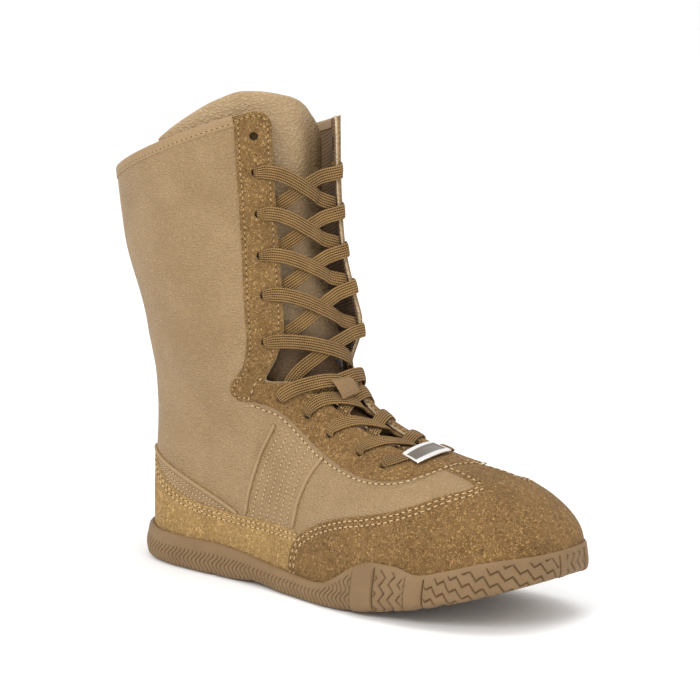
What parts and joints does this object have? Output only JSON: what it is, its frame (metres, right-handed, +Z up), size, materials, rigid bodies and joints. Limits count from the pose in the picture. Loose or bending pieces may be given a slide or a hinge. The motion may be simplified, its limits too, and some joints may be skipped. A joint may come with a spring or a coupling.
{
  "type": "tall lace-up sneaker boot",
  "caption": "Right tall sneaker with a wrestling-boot cut: hollow laced upper, thin cupped rubber sole, inner side zip with a swinging pull.",
  "frame": {"origin": "on the floor under the middle of the heel, at the heel's flat spot", "axes": "+Z up, +X from heel to toe, +Y to the wearer's left, the inner side of this right shoe"},
  "size_m": [0.2965, 0.1115, 0.2649],
  "materials": {
    "rubber": "matt moulded gum rubber",
    "sock_lining": "flat textile sock lining",
    "grained_leather": "fine pebble grain, satin",
    "tongue_leather": "soft wrinkled grain, satin",
    "suede": "brushed suede nap",
    "textile_lining": "ribbed textile lining",
    "stitching": "light twisted thread",
    "lace_braid": "flat tubular braid",
    "keeper_leather": "smooth folded leather",
    "plate_metal": "polished, blank",
    "zip_tape": "dark brown woven tape and coil",
    "zip_metal": "satin antique metal"
  },
  "bodies": {
    "boot": {"outsole": "rubber", "insole": "sock_lining", "upper": "grained_leather", "tongue": "tongue_leather", "lace_bar": "lace_braid", "lace_cross_1": "lace_braid", "lace_cross_2": "lace_braid", "lace_cross_3": "lace_braid", "lace_cross_4": "lace_braid", "lace_cross_5": "lace_braid", "lace_cross_6": "lace_braid", "lace_cross_7": "lace_braid", "lace_cross_8": "lace_braid", "lace_cross_9": "lace_braid", "lace_keeper": "keeper_leather", "lace_plate": "plate_metal", "zip_strip": "zip_tape", "zip_slider": "zip_metal"},
    "pull": {"zip_pull": "zip_metal"}
  },
  "joints": [
    {"name": "zip_pull_swing", "type": "hinge", "parent": "boot", "child": "pull", "pos_m": [0.00533, 0.05735, 0.21252], "axis": [0.9902, -0.0129, 0.1391], "range_deg": [0, 160]}
  ]
}
